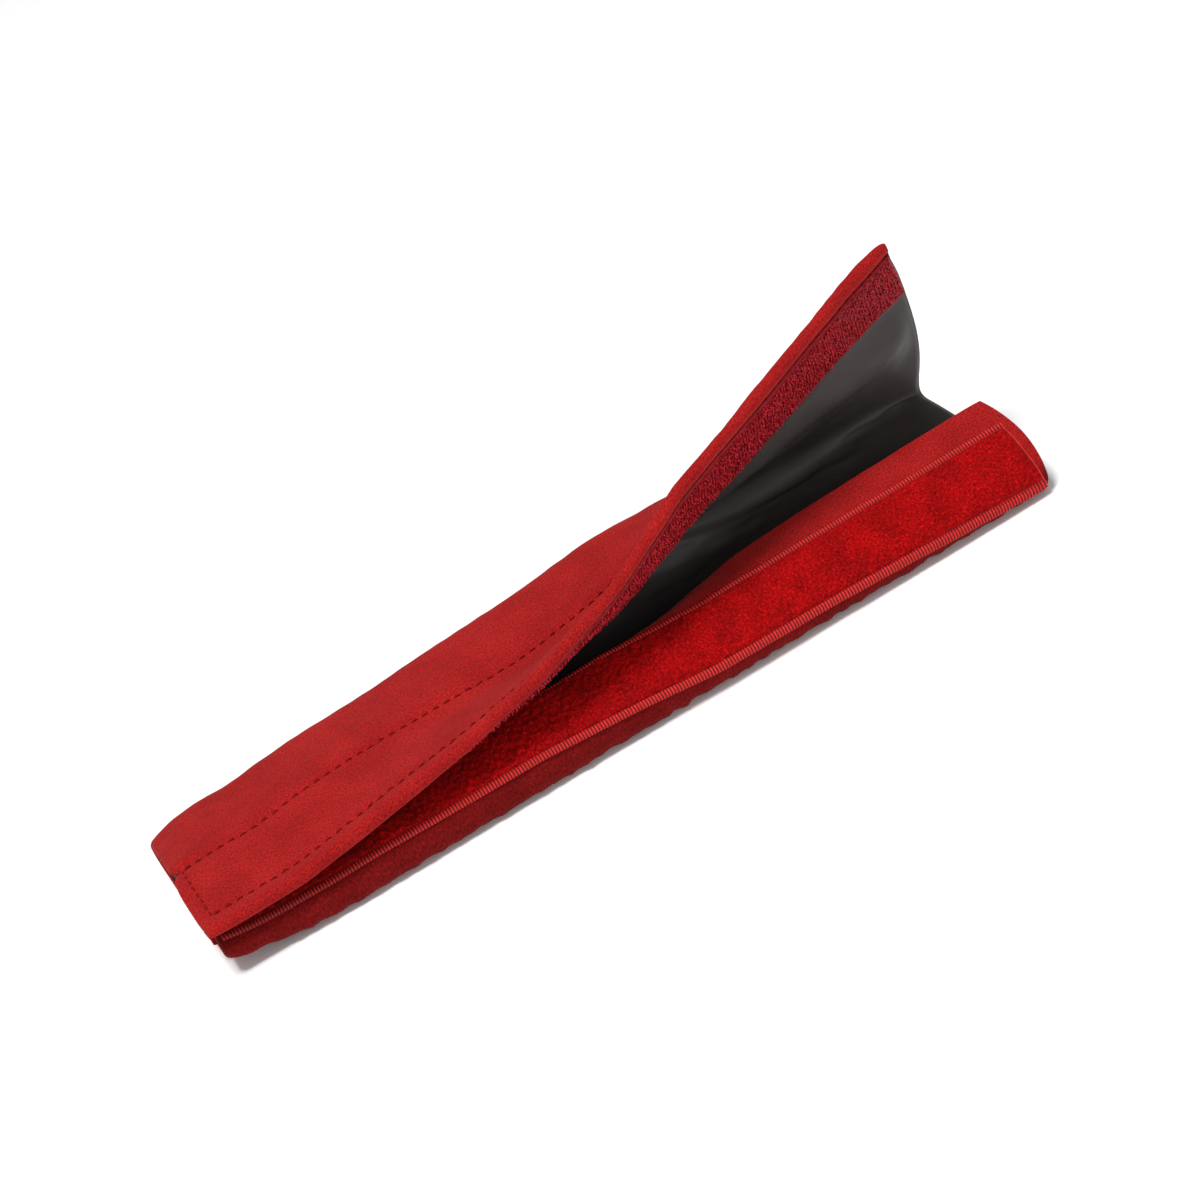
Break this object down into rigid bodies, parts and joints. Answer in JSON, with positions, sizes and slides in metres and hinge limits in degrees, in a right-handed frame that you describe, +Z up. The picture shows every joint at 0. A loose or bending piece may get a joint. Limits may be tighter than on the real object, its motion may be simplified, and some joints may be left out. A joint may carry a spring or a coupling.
{
  "type": "padded strap sleeve",
  "caption": "Long padded microsuede sleeve that wraps a webbing strap and closes along its length with a hook-and-loop flap, shown half peeled open.",
  "frame": {"origin": "middle of the sleeve's footprint, on the surface it lies on", "axes": "+X along the sleeve towards its open end, +Y towards the back fold, +Z up out of the base"},
  "size_m": [0.235, 0.0628, 0.0692],
  "materials": {
    "suede": "brushed microsuede, matt with a soft sheen",
    "foam": "sealed polyurethane foam sheet",
    "lining": "smooth woven nylon with a satin sheen",
    "loop_tape": "fuzzy loop pile with ribbed selvedges",
    "hook_tape": "rough moulded hooks on woven tape"
  },
  "bodies": {
    "base": {"base_cover": "suede", "base_foam": "foam", "base_lining": "lining", "fold_cover": "suede", "fold_foam": "foam", "fold_lining": "lining"},
    "flap_1": {"flap_cover_1": "suede", "flap_foam_1": "foam", "flap_lining_1": "lining", "hook_tape_1": "hook_tape"},
    "flap_2": {"flap_cover_2": "suede", "flap_foam_2": "foam", "flap_lining_2": "lining", "hook_tape_2": "hook_tape"},
    "flap_3": {"flap_cover_3": "suede", "flap_foam_3": "foam", "flap_lining_3": "lining", "hook_tape_3": "hook_tape"},
    "flap_4": {"flap_cover_4": "suede", "flap_foam_4": "foam", "flap_lining_4": "lining", "hook_tape_4": "hook_tape"},
    "flap_5": {"flap_cover_5": "suede", "flap_foam_5": "foam", "flap_lining_5": "lining", "hook_tape_5": "hook_tape"},
    "flap_6": {"flap_cover_6": "suede", "flap_foam_6": "foam", "flap_lining_6": "lining", "hook_tape_6": "hook_tape"},
    "flap_7": {"flap_cover_7": "suede", "flap_foam_7": "foam", "flap_lining_7": "lining", "hook_tape_7": "hook_tape"},
    "flap_8": {"flap_cover_8": "suede", "flap_foam_8": "foam", "flap_lining_8": "lining", "hook_tape_8": "hook_tape"},
    "lip_1": {"lip_cover_1": "suede", "lip_foam_1": "foam", "lip_lining_1": "lining", "loop_tape_1": "loop_tape"},
    "lip_2": {"lip_cover_2": "suede", "lip_foam_2": "foam", "lip_lining_2": "lining", "loop_tape_2": "loop_tape"},
    "lip_3": {"lip_cover_3": "suede", "lip_foam_3": "foam", "lip_lining_3": "lining", "loop_tape_3": "loop_tape"},
    "lip_4": {"lip_cover_4": "suede", "lip_foam_4": "foam", "lip_lining_4": "lining", "loop_tape_4": "loop_tape"}
  },
  "joints": [
    {"name": "flap_fold_1", "type": "hinge", "parent": "base", "child": "flap_1", "pos_m": [0, 0.0294, 0.0135], "axis": [-1, 0, 0], "range_deg": [-2.04, 3.06]},
    {"name": "flap_fold_2", "type": "hinge", "parent": "base", "child": "flap_2", "pos_m": [0, 0.0294, 0.0135], "axis": [-1, 0, 0], "range_deg": [-6.99, 10.48]},
    {"name": "flap_fold_3", "type": "hinge", "parent": "base", "child": "flap_3", "pos_m": [0, 0.0294, 0.0135], "axis": [-1, 0, 0], "range_deg": [-15.97, 23.95]},
    {"name": "flap_fold_4", "type": "hinge", "parent": "base", "child": "flap_4", "pos_m": [0, 0.0294, 0.0135], "axis": [-1, 0, 0], "range_deg": [-25.38, 38.07]},
    {"name": "flap_fold_5", "type": "hinge", "parent": "base", "child": "flap_5", "pos_m": [0, 0.0294, 0.0135], "axis": [-1, 0, 0], "range_deg": [-35.07, 52.61]},
    {"name": "flap_fold_6", "type": "hinge", "parent": "base", "child": "flap_6", "pos_m": [0, 0.0294, 0.0135], "axis": [-1, 0, 0], "range_deg": [-44.92, 67.39]},
    {"name": "flap_fold_7", "type": "hinge", "parent": "base", "child": "flap_7", "pos_m": [0, 0.0294, 0.0135], "axis": [-1, 0, 0], "range_deg": [-54.75, 82.12]},
    {"name": "flap_opening", "type": "hinge", "parent": "base", "child": "flap_8", "pos_m": [0, 0.0294, 0.0135], "axis": [-1, 0, 0], "range_deg": [-68, 102]},
    {"name": "lip_fold_1", "type": "hinge", "parent": "base", "child": "lip_1", "pos_m": [0, -0.0261, 0.0053], "axis": [1, 0, 0], "range_deg": [-4, 6]},
    {"name": "lip_fold_2", "type": "hinge", "parent": "base", "child": "lip_2", "pos_m": [0, -0.0261, 0.0053], "axis": [1, 0, 0], "range_deg": [-18, 27]},
    {"name": "lip_fold_3", "type": "hinge", "parent": "base", "child": "lip_3", "pos_m": [0, -0.0261, 0.0053], "axis": [1, 0, 0], "range_deg": [-26, 39]},
    {"name": "lip_fold_4", "type": "hinge", "parent": "base", "child": "lip_4", "pos_m": [0, -0.0261, 0.0053], "axis": [1, 0, 0], "range_deg": [-27, 40.5]}
  ],
  "couplings": [
    {"joint": "flap_fold_1", "follows": "flap_opening", "ratio": 0.03},
    {"joint": "flap_fold_2", "follows": "flap_opening", "ratio": 0.10272},
    {"joint": "flap_fold_3", "follows": "flap_opening", "ratio": 0.23477},
    {"joint": "flap_fold_4", "follows": "flap_opening", "ratio": 0.37323},
    {"joint": "flap_fold_5", "follows": "flap_opening", "ratio": 0.51579},
    {"joint": "flap_fold_6", "follows": "flap_opening", "ratio": 0.66065},
    {"joint": "flap_fold_7", "follows": "flap_opening", "ratio": 0.80509},
    {"joint": "lip_fold_1", "follows": "flap_opening", "ratio": 0.058824},
    {"joint": "lip_fold_2", "follows": "flap_opening", "ratio": 0.26471},
    {"joint": "lip_fold_3", "follows": "flap_opening", "ratio": 0.38235},
    {"joint": "lip_fold_4", "follows": "flap_opening", "ratio": 0.39706}
  ]
}
